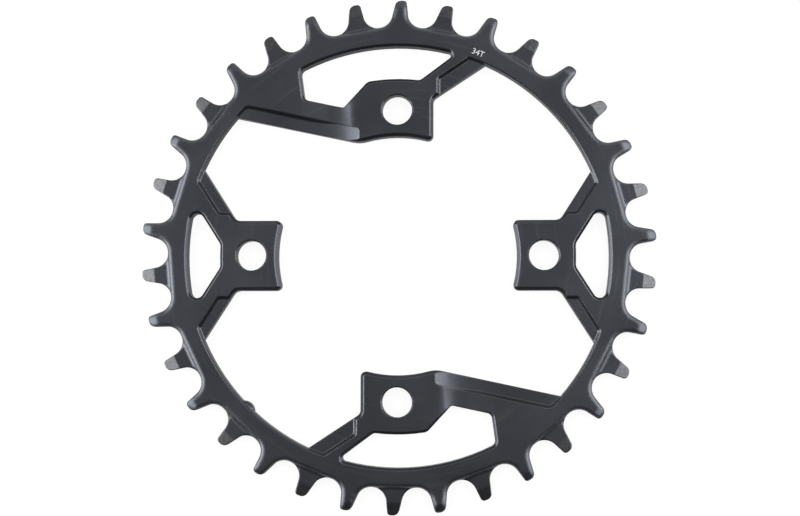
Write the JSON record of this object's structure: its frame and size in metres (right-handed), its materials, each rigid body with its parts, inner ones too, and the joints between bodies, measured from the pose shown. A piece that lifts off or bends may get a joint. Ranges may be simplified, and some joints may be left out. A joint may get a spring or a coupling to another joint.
{
  "type": "bicycle chainring",
  "caption": "Flat black-anodised bicycle chainring with alternating wide and narrow teeth, four inward bolt tabs on slim arms, and cut-out windows behind them.",
  "frame": {"origin": "centre of the ring on its back face, where the bolt circle's axis crosses that face", "axes": "+Z along the ring's axis, out of the front face with its bevelled teeth and sunk ledges; +Y through the centre of the upper bolt hole and +X through that of the right one, as seen from the front"},
  "size_m": [0.144, 0.1444, 0.0039],
  "materials": {
    "anodised_aluminium": "satin black anodising over milled aluminium"
  },
  "bodies": {
    "root": {"chainring": "anodised_aluminium"}
  },
  "joints": []
}
